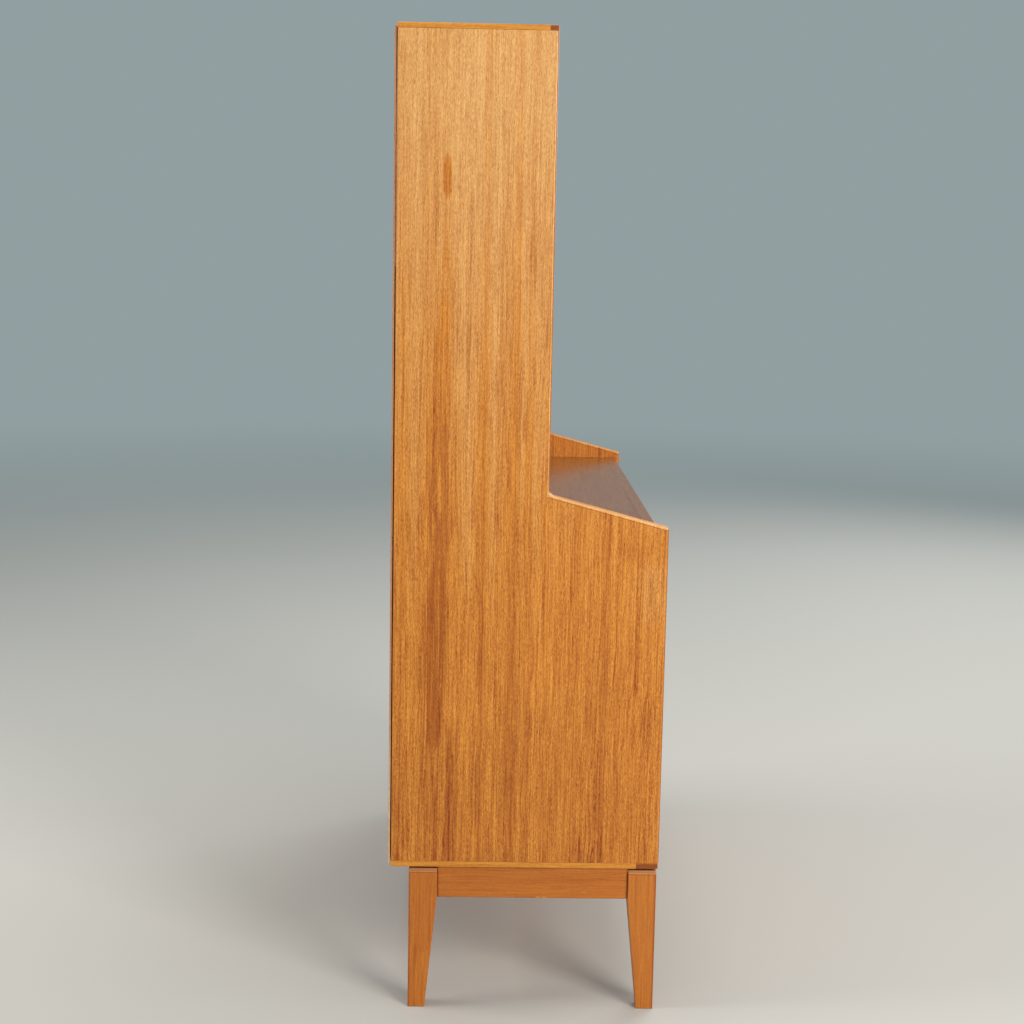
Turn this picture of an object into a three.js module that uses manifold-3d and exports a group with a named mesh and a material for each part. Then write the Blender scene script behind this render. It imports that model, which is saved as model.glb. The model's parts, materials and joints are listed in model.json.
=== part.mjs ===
// Tall secretary desk in teak, on a separate stand of four tapered legs.
// Two stepped side panels carry a shallow bookcase above a deeper chest of drawers, and the
// step between them is the desk surface. A writing leaf pulls out from under that surface.
// Millimetres, +Z up. The front faces -Y, and +X is to the right seen from the front.
// The origin is on the floor, under the middle of the cabinet's outline.

import * as THREE from 'three';
import { mergeVertices } from 'three/addons/utils/BufferGeometryUtils.js';
import Module from 'manifold-3d';

const wasm = await Module();
wasm.setup();

// ---- Driving dimensions: the outline ----
const WIDTH = 990;
const DEPTH = 420;
const HEIGHT = 1500;
const UPPER_DEPTH = 238;        // side panels above the step, back board included
const CABINET_BASE_Z = 229.6;   // underside of the cabinet, on top of the stand
const DESK_Z = 755.5;           // desk surface
const NOTCH_Z = 814;            // where the step's slope meets the upper front edge
const NOTCH_RADIUS = 13;
const SHOULDER_Z = 766;         // where the slope meets the lower front edge
const SHOULDER_RADIUS = 4.5;

// ---- Driving dimensions: the carcass ----
const BOARD = 20;
const PLY = 4;                  // back boards and drawer bottoms
const GAP = 0.3;                // between pieces that touch
const TOP_TONGUE = 7.7;         // part of the top board that lies over the side panels
const BOTTOM_TONGUE = 8.7;      // part of the bottom board that lies under the side panels
const TOP_LIPPING = 13;         // solid front strips
const BOTTOM_LIPPING = 34;
const DESK_LIPPING = 20;
const SHELF = 16;
const LOWER_INSET = 9;          // desk edge, leaf and drawer fronts behind the side panels' front
const UPPER_INSET = 8;
const BACK_TOP_DROP = 4;        // upper back board ends this far below the top
const BACK_LAP = 9.5;           // upper back board laps this far onto the desk board's back edge
const BACK_JOINT = 1.2;         // between the upper and the lower back board

// ---- Driving dimensions: the writing leaf ----
const LEAF = 18;
const LEAF_CLEARANCE = 0.8;
const LEAF_LIPPING = 24;
const LEAF_RUNNER_WIDTH = 14;
const LEAF_RUNNER_HEIGHT = 18;
const LEAF_GRIP_DEPTH = 9;      // finger cove under the leaf's front edge
const LEAF_GRIP_SETBACK = 6;
const BACK_RAIL_HEIGHT = 32;

// ---- Driving dimensions: the drawers ----
const FRONT = 18;               // thickness of a drawer front
const FRONT_GAP = 3;            // between two drawer fronts, one above the other
const FRONT_SIDE_GAP = 1.5;
const DRAWER_COUNT = 4;
const DRAWER_STEP = 9;          // each drawer front is this much taller than the one above
const DRAWER_BOX_DEPTH = 380;
const DRAWER_SIDE = 12;
const DRAWER_SIDE_GAP = 3;      // between a drawer side and the side panel
const BOX_LIFT = 8;             // box underside above the front's lower edge
const BOX_DROP = 20;            // box top below the front's upper edge
const BOTTOM_GROOVE = 5;        // depth of the groove that holds a drawer bottom
const BOTTOM_LIFT = 8;
const RUNNER_WIDTH = 9.5;
const RUNNER_HEIGHT = 16;
const RUNNER_CLEARANCE = 0.5;
const SCOOP_WIDTH = 84;         // half-moon finger cut-outs in the top edge of a drawer front
const SCOOP_DEPTH = 17;
const SCOOP_SPACING = 470;

// ---- Driving dimensions: the bookcase ----
const SMALL_FRONT = 14;
const SMALL_FRONT_HEIGHT = 82;
const SMALL_BOX_DEPTH = 205;
const SMALL_SIDE = 8;
const SMALL_GAP = 1;            // around a small drawer
const SMALL_SCOOP_WIDTH = 60;
const SMALL_SCOOP_DEPTH = 13;
const DIVIDER = 12;
const DOOR_BAY = 280;           // clear height behind the sliding doors
const DOOR = 10;
const DOOR_CLEARANCE = 0.4;
const DOOR_OVERLAP = 40;
const TRACK_SETBACK = 8;        // shelf front edge to the first groove
const TRACK_WALL = 4;           // between the two grooves
const LOWER_TRACK_DEPTH = 4.5;
const UPPER_TRACK_DEPTH = 9;    // deep enough to lift a door out
const DOOR_ENTRY = 4;           // how far a door reaches into the upper groove
const CUP_RADIUS = 16;          // finger cups in the sliding doors
const CUP_DEPTH = 6.5;
const CUP_FROM_EDGE = 42;

// ---- Driving dimensions: the stand ----
const LEG = 44;
const FOOT = 26;
const LEG_HEIGHT = 225.5;
const LEG_CHAMFER = 4.4;
const LEG_FRONT_INSET = 2.5;
const LEG_BACK_INSET = 32.4;
const LEG_SIDE_INSET = 0.5;
const RAIL = 22;
const RAIL_BASE_Z = 178.7;
const RAIL_INSET = 4;           // rail face behind the leg's outer face

// ---- Places worked out from the driving dimensions ----
const FRONT_Y = -DEPTH / 2;
const BACK_Y = DEPTH / 2;
const UPPER_FRONT_Y = BACK_Y - UPPER_DEPTH;
const PANEL_BACK_Y = BACK_Y - PLY - GAP;
const INNER_X = WIDTH / 2 - BOARD;
const BOARD_END_X = INNER_X - GAP;
const BOTTOM_TOP_Z = CABINET_BASE_Z + BOARD;
const TOP_UNDERSIDE_Z = HEIGHT - BOARD;
const LOWER_FACE_Y = FRONT_Y + LOWER_INSET;
const UPPER_FACE_Y = UPPER_FRONT_Y + UPPER_INSET;
const DESK_UNDERSIDE_Z = DESK_Z - BOARD;
const LEAF_TOP_Z = DESK_UNDERSIDE_Z - LEAF_CLEARANCE;
const LEAF_BASE_Z = LEAF_TOP_Z - LEAF;
const SMALL_SHELF_Z = DESK_Z + SMALL_FRONT_HEIGHT + 2 * SMALL_GAP;
const DOOR_FLOOR_Z = SMALL_SHELF_Z + SHELF;
const BOOK_SHELF_Z = DOOR_FLOOR_Z + DOOR_BAY;

// ---- Timbers ----
const timber = (color, roughness) => new THREE.MeshStandardMaterial({ color, roughness, metalness: 0 });
const TEAK_VENEER = timber('#c88a45', 0.42);
const TEAK_SOLID = timber('#b56a30', 0.45);
const TEAK_END_GRAIN = timber('#6f3b24', 0.55);
const TEAK_DESK = timber('#9a6038', 0.3);
const BEECH = timber('#cfae7d', 0.6);
const BIRCH_PLY = timber('#c9a06a', 0.65);

// ---- Shapes ----
const CURVE_STEPS = 10;
const X_AXIS = new THREE.Vector3(1, 0, 0);
const Y_AXIS = new THREE.Vector3(0, 1, 0);
const Z_AXIS = new THREE.Vector3(0, 0, 1);
// An outline drawn in Y and Z that runs towards +X, and one drawn in X and Z that runs towards -Y.
const RUN_ALONG_X = new THREE.Matrix4().makeBasis(Y_AXIS, Z_AXIS, X_AXIS);
const RUN_TO_FRONT = new THREE.Matrix4().makeBasis(X_AXIS, Z_AXIS, Y_AXIS.clone().negate());

function block([x0, x1], [y0, y1], [z0, z1]) {
  const geometry = new THREE.BoxGeometry(x1 - x0, y1 - y0, z1 - z0);
  return geometry.translate((x0 + x1) / 2, (y0 + y1) / 2, (z0 + z1) / 2);
}

function extrude(outline, length, direction) {
  const options = { depth: length, bevelEnabled: false, curveSegments: CURVE_STEPS };
  const geometry = new THREE.ExtrudeGeometry(outline, options);
  return direction ? geometry.applyMatrix4(direction) : geometry;
}

// A closed outline of straight runs. Each corner is [a, b] or, where it is rounded, [a, b, radius].
function roundedOutline(corners) {
  const outline = new THREE.Shape();
  corners.forEach(([a, b, radius = 0], index) => {
    const corner = new THREE.Vector2(a, b);
    const [beforeA, beforeB] = corners.at(index - 1);
    const [afterA, afterB] = corners[(index + 1) % corners.length];
    const toBefore = new THREE.Vector2(beforeA, beforeB).sub(corner).normalize();
    const toAfter = new THREE.Vector2(afterA, afterB).sub(corner).normalize();
    const run = radius / Math.tan(Math.acos(toBefore.dot(toAfter)) / 2);
    const start = corner.clone().addScaledVector(toBefore, run);
    const end = corner.clone().addScaledVector(toAfter, run);
    if (index === 0) outline.moveTo(start.x, start.y);
    else outline.lineTo(start.x, start.y);
    if (radius > 0) outline.quadraticCurveTo(corner.x, corner.y, end.x, end.y);
  });
  return outline;
}

// ---- Booleans ----
function toSolid(geometry) {
  const bare = geometry.clone();
  bare.deleteAttribute('normal');
  bare.deleteAttribute('uv');
  const merged = mergeVertices(bare);
  return new wasm.Manifold(new wasm.Mesh({
    numProp: 3,
    vertProperties: new Float32Array(merged.attributes.position.array),
    triVerts: new Uint32Array(merged.index.array),
  }));
}

function toGeometry(solid) {
  const mesh = solid.getMesh();
  const geometry = new THREE.BufferGeometry();
  geometry.setAttribute('position', new THREE.BufferAttribute(mesh.vertProperties, 3));
  geometry.setIndex(new THREE.BufferAttribute(mesh.triVerts, 1));
  geometry.computeVertexNormals();
  return geometry;
}

function cut(geometry, tools) {
  const solid = tools.reduce((rest, tool) => rest.subtract(toSolid(tool)), toSolid(geometry));
  return toGeometry(solid);
}

function common(first, second) {
  return toGeometry(toSolid(first).intersect(toSolid(second)));
}

// ---- Scene helpers ----
const secretaryDesk = new THREE.Group();

function addPiece(parent, name, geometry, material, position = [0, 0, 0]) {
  const mesh = new THREE.Mesh(geometry, material);
  mesh.name = name;
  mesh.position.set(...position);
  parent.add(mesh);
  return mesh;
}

// A plain board between two limits on each axis.
function addBoard(parent, name, material, [x0, x1], [y0, y1], [z0, z1]) {
  const geometry = new THREE.BoxGeometry(x1 - x0, y1 - y0, z1 - z0);
  const centre = [(x0 + x1) / 2, (y0 + y1) / 2, (z0 + z1) / 2];
  return addPiece(parent, name, geometry, material, centre);
}

const SIDES = [['left', -1], ['right', 1]];
// The two limits in X of a strip on one side, from its distances to the middle plane.
const mirrored = (side, near, far) => (side < 0 ? [-far, -near] : [near, far]);

// ---- Side panels: one stepped board each, between the tongues of the top and bottom boards ----
function sidePanelGeometry() {
  const baseZ = CABINET_BASE_Z + BOTTOM_TONGUE + GAP;
  const topZ = HEIGHT - TOP_TONGUE - GAP;
  const outline = roundedOutline([
    [PANEL_BACK_Y, baseZ],
    [PANEL_BACK_Y, topZ],
    [UPPER_FRONT_Y, topZ],
    [UPPER_FRONT_Y, NOTCH_Z, NOTCH_RADIUS],
    [FRONT_Y, SHOULDER_Z, SHOULDER_RADIUS],
    [FRONT_Y, baseZ],
  ]);
  return extrude(outline, BOARD, RUN_ALONG_X);
}

for (const [side, sign] of SIDES) {
  const [outerX] = mirrored(sign, INNER_X, WIDTH / 2);
  addPiece(secretaryDesk, `side_panel_${side}`, sidePanelGeometry(), TEAK_VENEER, [outerX, 0, 0]);
}

// ---- Top and bottom boards: rebated at both ends, so that a tongue covers the panels' ends ----
function rebatedBoardGeometry(tongue, tongueIsUp, length) {
  const thin = BOARD - tongue;
  const outline = roundedOutline([
    [-WIDTH / 2, thin],
    [-BOARD_END_X, thin],
    [-BOARD_END_X, 0],
    [BOARD_END_X, 0],
    [BOARD_END_X, thin],
    [WIDTH / 2, thin],
    [WIDTH / 2, BOARD],
    [-WIDTH / 2, BOARD],
  ]);
  const geometry = extrude(outline, length, RUN_TO_FRONT);
  if (!tongueIsUp) geometry.rotateY(Math.PI).translate(0, 0, BOARD);
  return geometry;
}

function addLippedBoard(name, tongue, tongueIsUp, baseZ, frontY, lipping) {
  const seamY = frontY + lipping;
  const board = rebatedBoardGeometry(tongue, tongueIsUp, PANEL_BACK_Y - seamY);
  const strip = rebatedBoardGeometry(tongue, tongueIsUp, lipping - GAP);
  addPiece(secretaryDesk, name, board, TEAK_VENEER, [0, PANEL_BACK_Y, baseZ]);
  addPiece(secretaryDesk, `${name}_lipping`, strip, TEAK_END_GRAIN, [0, seamY - GAP, baseZ]);
}

addLippedBoard('top_board', TOP_TONGUE, true, TOP_UNDERSIDE_Z, UPPER_FRONT_Y, TOP_LIPPING);
addLippedBoard('bottom_board', BOTTOM_TONGUE, false, CABINET_BASE_Z, FRONT_Y + 1, BOTTOM_LIPPING);

// ---- Desk board with its solid front edge, and the rail behind the writing leaf ----
const ACROSS = [-BOARD_END_X, BOARD_END_X];
const DESK_SEAM_Y = LOWER_FACE_Y + DESK_LIPPING;
const DESK_HEIGHT = [DESK_UNDERSIDE_Z, DESK_Z];
const DESK_EDGE_RADIUS = 2.5;

function deskLippingGeometry() {
  const outline = roundedOutline([
    [DESK_SEAM_Y - GAP, DESK_UNDERSIDE_Z],
    [DESK_SEAM_Y - GAP, DESK_Z],
    [LOWER_FACE_Y, DESK_Z, DESK_EDGE_RADIUS],
    [LOWER_FACE_Y, DESK_UNDERSIDE_Z, DESK_EDGE_RADIUS],
  ]);
  return extrude(outline, 2 * BOARD_END_X, RUN_ALONG_X);
}

addBoard(secretaryDesk, 'desk_board', TEAK_DESK, ACROSS, [DESK_SEAM_Y, PANEL_BACK_Y], DESK_HEIGHT);
addPiece(secretaryDesk, 'desk_board_lipping', deskLippingGeometry(), TEAK_SOLID, [-BOARD_END_X, 0, 0]);

const BACK_RAIL_TOP_Z = DESK_UNDERSIDE_Z - GAP;
const BACK_RAIL_Y = PANEL_BACK_Y - BOARD;
const BACK_RAIL_SPAN_Z = [BACK_RAIL_TOP_Z - BACK_RAIL_HEIGHT, BACK_RAIL_TOP_Z];
addBoard(secretaryDesk, 'leaf_back_rail', BEECH, ACROSS, [BACK_RAIL_Y, PANEL_BACK_Y], BACK_RAIL_SPAN_Z);

// ---- Back boards: thin plywood on the back edges of the carcass ----
const BACK_SPAN_X = [-WIDTH / 2 + 2, WIDTH / 2 - 2];
const BACK_SPAN_Y = [BACK_Y - PLY, BACK_Y];
const UPPER_BACK_Z = [DESK_Z - BACK_LAP, HEIGHT - BACK_TOP_DROP];
const LOWER_BACK_Z = [CABINET_BASE_Z + BACK_TOP_DROP, UPPER_BACK_Z[0] - BACK_JOINT];
addBoard(secretaryDesk, 'back_board_upper', BIRCH_PLY, BACK_SPAN_X, BACK_SPAN_Y, UPPER_BACK_Z);
addBoard(secretaryDesk, 'back_board_lower', BIRCH_PLY, BACK_SPAN_X, BACK_SPAN_Y, LOWER_BACK_Z);

// ---- Writing leaf: a board that slides forwards, and a front edge with a finger cove below ----
const LEAF_GAP = 1;
const LEAF_SEAM_Y = LOWER_FACE_Y + LEAF_LIPPING;
const LEAF_END_X = INNER_X - LEAF_GAP;
const LEAF_SPAN_X = [-LEAF_END_X, LEAF_END_X];
const LEAF_SPAN_Y = [LEAF_SEAM_Y, BACK_RAIL_Y - LEAF_GAP];

function leafLippingGeometry() {
  const gripFrontY = LOWER_FACE_Y + LEAF_GRIP_SETBACK;
  const gripBackY = LEAF_SEAM_Y - GAP - LEAF_GRIP_SETBACK;
  const outline = new THREE.Shape();
  outline.moveTo(LEAF_SEAM_Y - GAP, LEAF_BASE_Z);
  outline.lineTo(LEAF_SEAM_Y - GAP, LEAF_TOP_Z);
  outline.lineTo(LOWER_FACE_Y, LEAF_TOP_Z);
  outline.lineTo(LOWER_FACE_Y, LEAF_BASE_Z);
  outline.lineTo(gripFrontY, LEAF_BASE_Z);
  outline.lineTo(gripFrontY, LEAF_BASE_Z + LEAF_GRIP_DEPTH);
  outline.quadraticCurveTo(gripBackY, LEAF_BASE_Z + LEAF_GRIP_DEPTH, gripBackY, LEAF_BASE_Z);
  return extrude(outline, 2 * LEAF_END_X, RUN_ALONG_X);
}

addBoard(secretaryDesk, 'writing_leaf', TEAK_DESK, LEAF_SPAN_X, LEAF_SPAN_Y, [LEAF_BASE_Z, LEAF_TOP_Z]);
addPiece(secretaryDesk, 'writing_leaf_lipping', leafLippingGeometry(), TEAK_SOLID, [-LEAF_END_X, 0, 0]);

const LEAF_RUNNER_TOP_Z = LEAF_BASE_Z - RUNNER_CLEARANCE;
const LEAF_RUNNER_Z = [LEAF_RUNNER_TOP_Z - LEAF_RUNNER_HEIGHT, LEAF_RUNNER_TOP_Z];
const RUNNER_FRONT_Y = LOWER_FACE_Y + FRONT + 2;
const LEAF_RUNNER_Y = [RUNNER_FRONT_Y, BACK_RAIL_Y - GAP];
for (const [side, sign] of SIDES) {
  const spanX = mirrored(sign, BOARD_END_X - LEAF_RUNNER_WIDTH, BOARD_END_X);
  addBoard(secretaryDesk, `leaf_runner_${side}`, BEECH, spanX, LEAF_RUNNER_Y, LEAF_RUNNER_Z);
}

// ---- Drawers ----
// A drawer front in X and Z, its lower edge at 0, with half-moon finger cut-outs in its top edge.
function drawerFrontOutline(width, height, scoopCentres, scoopWidth, scoopDepth) {
  const radius = (scoopWidth ** 2 / 4 + scoopDepth ** 2) / (2 * scoopDepth);
  const halfAngle = Math.asin(scoopWidth / 2 / radius);
  const centreZ = height + radius - scoopDepth;
  const down = -Math.PI / 2;
  const outline = new THREE.Shape();
  outline.moveTo(-width / 2, 0);
  outline.lineTo(width / 2, 0);
  outline.lineTo(width / 2, height);
  for (const centreX of scoopCentres) {
    outline.absarc(centreX, centreZ, radius, down + halfAngle, down - halfAngle, true);
  }
  outline.lineTo(-width / 2, height);
  return outline;
}

// Sides and back of a drawer, seen from above, open towards the front.
function drawerBoxOutline(width, depth, thickness) {
  const outer = width / 2;
  const inner = outer - thickness;
  return roundedOutline([
    [-outer, GAP],
    [-inner, GAP],
    [-inner, depth - thickness],
    [inner, depth - thickness],
    [inner, GAP],
    [outer, GAP],
    [outer, depth],
    [-outer, depth],
  ]);
}

// A drawer in a group of its own. The group's origin is in the middle of the front's back face, at
// the height of its lower edge. Runner grooves are cut in the sides where runnerZ is given.
function addDrawer(name, at, spec) {
  const drawer = new THREE.Group();
  drawer.position.set(...at);
  secretaryDesk.add(drawer);

  const inner = spec.boxWidth / 2 - spec.side;
  const panelX = inner + BOTTOM_GROOVE;
  const panelY = [-BOTTOM_GROOVE, spec.depth - spec.side + BOTTOM_GROOVE];
  const panelZ = [BOX_LIFT + BOTTOM_LIFT, BOX_LIFT + BOTTOM_LIFT + PLY];
  const groove = block(
    [-panelX - GAP, panelX + GAP],
    [panelY[0] - GAP, panelY[1] + GAP],
    [panelZ[0] - GAP, panelZ[1] + GAP],
  );

  const outline = drawerFrontOutline(
    spec.frontWidth, spec.frontHeight, spec.scoops, spec.scoopWidth, spec.scoopDepth);
  const front = extrude(outline, spec.front, RUN_TO_FRONT);
  addPiece(drawer, `${name}_front`, cut(front, [groove]), TEAK_VENEER);

  const boxHeight = spec.frontHeight - BOX_LIFT - spec.drop;
  const box = extrude(drawerBoxOutline(spec.boxWidth, spec.depth, spec.side), boxHeight);
  box.translate(0, 0, BOX_LIFT);
  const cuts = [groove];
  if (spec.runnerZ) {
    const grooveFloorX = spec.boxWidth / 2 - (RUNNER_WIDTH + RUNNER_CLEARANCE - DRAWER_SIDE_GAP);
    const grooveZ = [spec.runnerZ[0] - RUNNER_CLEARANCE, spec.runnerZ[1] + RUNNER_CLEARANCE];
    for (const [, sign] of SIDES) {
      cuts.push(block(mirrored(sign, grooveFloorX, spec.boxWidth), [0, spec.depth + 1], grooveZ));
    }
  }
  addPiece(drawer, `${name}_box`, cut(box, cuts), BEECH);
  addBoard(drawer, `${name}_bottom`, BIRCH_PLY, [-panelX, panelX], panelY, panelZ);
}

// Long drawers hang on side runners. Their fronts grow taller from the top one down.
const LONG_STACK = LEAF_BASE_Z - BOTTOM_TOP_Z - FRONT_GAP * (DRAWER_COUNT + 1);
const STEPS_IN_STACK = (DRAWER_COUNT * (DRAWER_COUNT - 1)) / 2;
const TOP_FRONT_HEIGHT = (LONG_STACK - DRAWER_STEP * STEPS_IN_STACK) / DRAWER_COUNT;
const LONG_BOX_WIDTH = 2 * (INNER_X - DRAWER_SIDE_GAP);
const LONG_FRONT_WIDTH = 2 * (INNER_X - FRONT_SIDE_GAP);
const LONG_ORIGIN_Y = LOWER_FACE_Y + FRONT;
const RUNNER_Y = [RUNNER_FRONT_Y, PANEL_BACK_Y - GAP];

let frontTopZ = LEAF_BASE_Z - FRONT_GAP;
for (let number = 1; number <= DRAWER_COUNT; number += 1) {
  const frontHeight = TOP_FRONT_HEIGHT + DRAWER_STEP * (number - 1);
  const baseZ = frontTopZ - frontHeight;
  const runnerMiddle = BOX_LIFT + (frontHeight - BOX_LIFT - BOX_DROP) / 2 + BOX_LIFT;
  const runnerZ = [runnerMiddle - RUNNER_HEIGHT / 2, runnerMiddle + RUNNER_HEIGHT / 2];
  addDrawer(`drawer_${number}`, [0, LONG_ORIGIN_Y, baseZ], {
    front: FRONT,
    frontWidth: LONG_FRONT_WIDTH,
    frontHeight,
    boxWidth: LONG_BOX_WIDTH,
    depth: DRAWER_BOX_DEPTH,
    side: DRAWER_SIDE,
    drop: BOX_DROP,
    scoops: [SCOOP_SPACING / 2, -SCOOP_SPACING / 2],
    scoopWidth: SCOOP_WIDTH,
    scoopDepth: SCOOP_DEPTH,
    runnerZ,
  });
  for (const [side, sign] of SIDES) {
    const spanX = mirrored(sign, BOARD_END_X - RUNNER_WIDTH + GAP, BOARD_END_X);
    const spanZ = runnerZ.map((z) => z + baseZ);
    addBoard(secretaryDesk, `drawer_${number}_runner_${side}`, BEECH, spanX, RUNNER_Y, spanZ);
  }
  frontTopZ = baseZ - FRONT_GAP;
}

// Three small drawers stand on the desk board, between two dividers.
const SMALL_NAMES = ['left', 'middle', 'right'];
const SMALL_PITCH = (2 * INNER_X + DIVIDER) / SMALL_NAMES.length;
const SMALL_BAY = SMALL_PITCH - DIVIDER;
const SMALL_WIDTH = SMALL_BAY - 2 * SMALL_GAP;
SMALL_NAMES.forEach((name, index) => {
  const centreX = (index - 1) * SMALL_PITCH;
  addDrawer(`small_drawer_${name}`, [centreX, UPPER_FACE_Y + SMALL_FRONT, DESK_Z + SMALL_GAP], {
    front: SMALL_FRONT,
    frontWidth: SMALL_WIDTH,
    frontHeight: SMALL_FRONT_HEIGHT,
    boxWidth: SMALL_WIDTH,
    depth: SMALL_BOX_DEPTH,
    side: SMALL_SIDE,
    drop: SMALL_SCOOP_DEPTH,
    scoops: [0],
    scoopWidth: SMALL_SCOOP_WIDTH,
    scoopDepth: SMALL_SCOOP_DEPTH,
  });
});

const DIVIDER_Z = [DESK_Z + GAP, SMALL_SHELF_Z - GAP];
for (const [side, sign] of SIDES) {
  const middleX = (sign * SMALL_PITCH) / 2;
  const spanX = [middleX - DIVIDER / 2, middleX + DIVIDER / 2];
  addBoard(secretaryDesk, `divider_${side}`, TEAK_SOLID, spanX, [UPPER_FACE_Y, PANEL_BACK_Y], DIVIDER_Z);
}

// ---- Bookcase shelves: the lower one has door grooves on top, the upper one underneath ----
const TRACK = DOOR + 2 * DOOR_CLEARANCE;
const TRACK_STARTS = [UPPER_FACE_Y + TRACK_SETBACK, UPPER_FACE_Y + TRACK_SETBACK + TRACK + TRACK_WALL];

function addGroovedShelf(name, baseZ, grooveZ) {
  const shelf = block(ACROSS, [UPPER_FACE_Y, PANEL_BACK_Y], [baseZ, baseZ + SHELF]);
  const grooves = TRACK_STARTS.map((y) => block([-WIDTH, WIDTH], [y, y + TRACK], grooveZ));
  addPiece(secretaryDesk, name, cut(shelf, grooves), TEAK_VENEER);
}

const LOWER_GROOVE_Z = DOOR_FLOOR_Z - LOWER_TRACK_DEPTH;
addGroovedShelf('shelf_lower', SMALL_SHELF_Z, [LOWER_GROOVE_Z, DOOR_FLOOR_Z + 1]);
addGroovedShelf('shelf_upper', BOOK_SHELF_Z, [BOOK_SHELF_Z - 1, BOOK_SHELF_Z + UPPER_TRACK_DEPTH]);

// ---- Sliding doors: the left one runs in the front groove, the right one behind it ----
const DOOR_HALF = INNER_X + DOOR_OVERLAP / 2 - GAP;
const DOOR_BASE_Z = LOWER_GROOVE_Z + RUNNER_CLEARANCE;
const DOOR_HEIGHT = BOOK_SHELF_Z + DOOR_ENTRY - DOOR_BASE_Z;

function doorGeometry(cupX) {
  const panel = block([-DOOR_HALF / 2, DOOR_HALF / 2], [0, DOOR], [0, DOOR_HEIGHT]);
  const cup = new THREE.CylinderGeometry(CUP_RADIUS, CUP_RADIUS, 2 * CUP_DEPTH, 32);
  cup.translate(cupX, 0, DOOR_HEIGHT / 2);
  return cut(panel, [cup]);
}

SIDES.forEach(([side, sign], index) => {
  const centreX = sign * (INNER_X - GAP - DOOR_HALF / 2);
  const cupX = sign * (DOOR_HALF / 2 - CUP_FROM_EDGE);
  const frontY = TRACK_STARTS[index] + DOOR_CLEARANCE;
  const at = [centreX, frontY, DOOR_BASE_Z];
  addPiece(secretaryDesk, `sliding_door_${side}`, doorGeometry(cupX), TEAK_VENEER, at);
});

// ---- Stand: four legs, square at the top, tapered on their two inner faces, and four rails ----
function legOutline(topCorner) {
  return roundedOutline([
    [0, 0],
    [FOOT, 0],
    [LEG, RAIL_BASE_Z],
    [LEG, LEG_HEIGHT],
    ...topCorner,
  ]);
}

// The leg's outer corner stands at the origin, and the leg fills towards +X and +Y. The top is chamfered
// on one outer face only: the one towards -X, or the one towards -Y on a leg that is placed a quarter
// turn round, so that every chamfer looks to the cabinet's side.
function legGeometry(isQuarterTurned) {
  const square = legOutline([[0, LEG_HEIGHT]]);
  const chamfered = legOutline([[LEG_CHAMFER, LEG_HEIGHT], [0, LEG_HEIGHT - LEG_CHAMFER]]);
  const [side, front] = isQuarterTurned ? [chamfered, square] : [square, chamfered];
  const sideView = extrude(side, LEG + 2, RUN_ALONG_X).translate(-1, 0, 0);
  const frontView = extrude(front, LEG + 2, RUN_TO_FRONT).translate(0, LEG + 1, 0);
  return common(sideView, frontView);
}

const LEG_OUTER_X = WIDTH / 2 - LEG_SIDE_INSET;
const LEG_FRONT_Y = FRONT_Y + LEG_FRONT_INSET;
const LEG_BACK_Y = BACK_Y - LEG_BACK_INSET;
const LEGS = [
  ['front_left', -LEG_OUTER_X, LEG_FRONT_Y, 0],
  ['front_right', LEG_OUTER_X, LEG_FRONT_Y, Math.PI / 2],
  ['back_right', LEG_OUTER_X, LEG_BACK_Y, Math.PI],
  ['back_left', -LEG_OUTER_X, LEG_BACK_Y, -Math.PI / 2],
];
for (const [name, x, y, turn] of LEGS) {
  const geometry = legGeometry(Math.abs(turn) === Math.PI / 2);
  const leg = addPiece(secretaryDesk, `leg_${name}`, geometry, TEAK_SOLID, [x, y, 0]);
  leg.rotation.z = turn;
}

const RAIL_Z = [RAIL_BASE_Z, CABINET_BASE_Z - GAP];
const RAIL_OUTER_X = LEG_OUTER_X - RAIL_INSET;
const BETWEEN_LEGS_X = [-LEG_OUTER_X + LEG + GAP, LEG_OUTER_X - LEG - GAP];
const BETWEEN_LEGS_Y = [LEG_FRONT_Y + LEG + GAP, LEG_BACK_Y - LEG - GAP];
const FRONT_RAIL_Y = [LEG_FRONT_Y + RAIL_INSET, LEG_FRONT_Y + RAIL_INSET + RAIL];
const BACK_RAIL_SPAN_Y = [LEG_BACK_Y - RAIL_INSET - RAIL, LEG_BACK_Y - RAIL_INSET];
for (const [side, sign] of SIDES) {
  const spanX = mirrored(sign, RAIL_OUTER_X - RAIL, RAIL_OUTER_X);
  addBoard(secretaryDesk, `stand_rail_${side}`, TEAK_SOLID, spanX, BETWEEN_LEGS_Y, RAIL_Z);
}
addBoard(secretaryDesk, 'stand_rail_front', TEAK_SOLID, BETWEEN_LEGS_X, FRONT_RAIL_Y, RAIL_Z);
addBoard(secretaryDesk, 'stand_rail_back', TEAK_SOLID, BETWEEN_LEGS_X, BACK_RAIL_SPAN_Y, RAIL_Z);

export default secretaryDesk;
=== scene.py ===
import json
import math
import random

import bmesh
import bpy
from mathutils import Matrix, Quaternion, Vector


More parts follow.
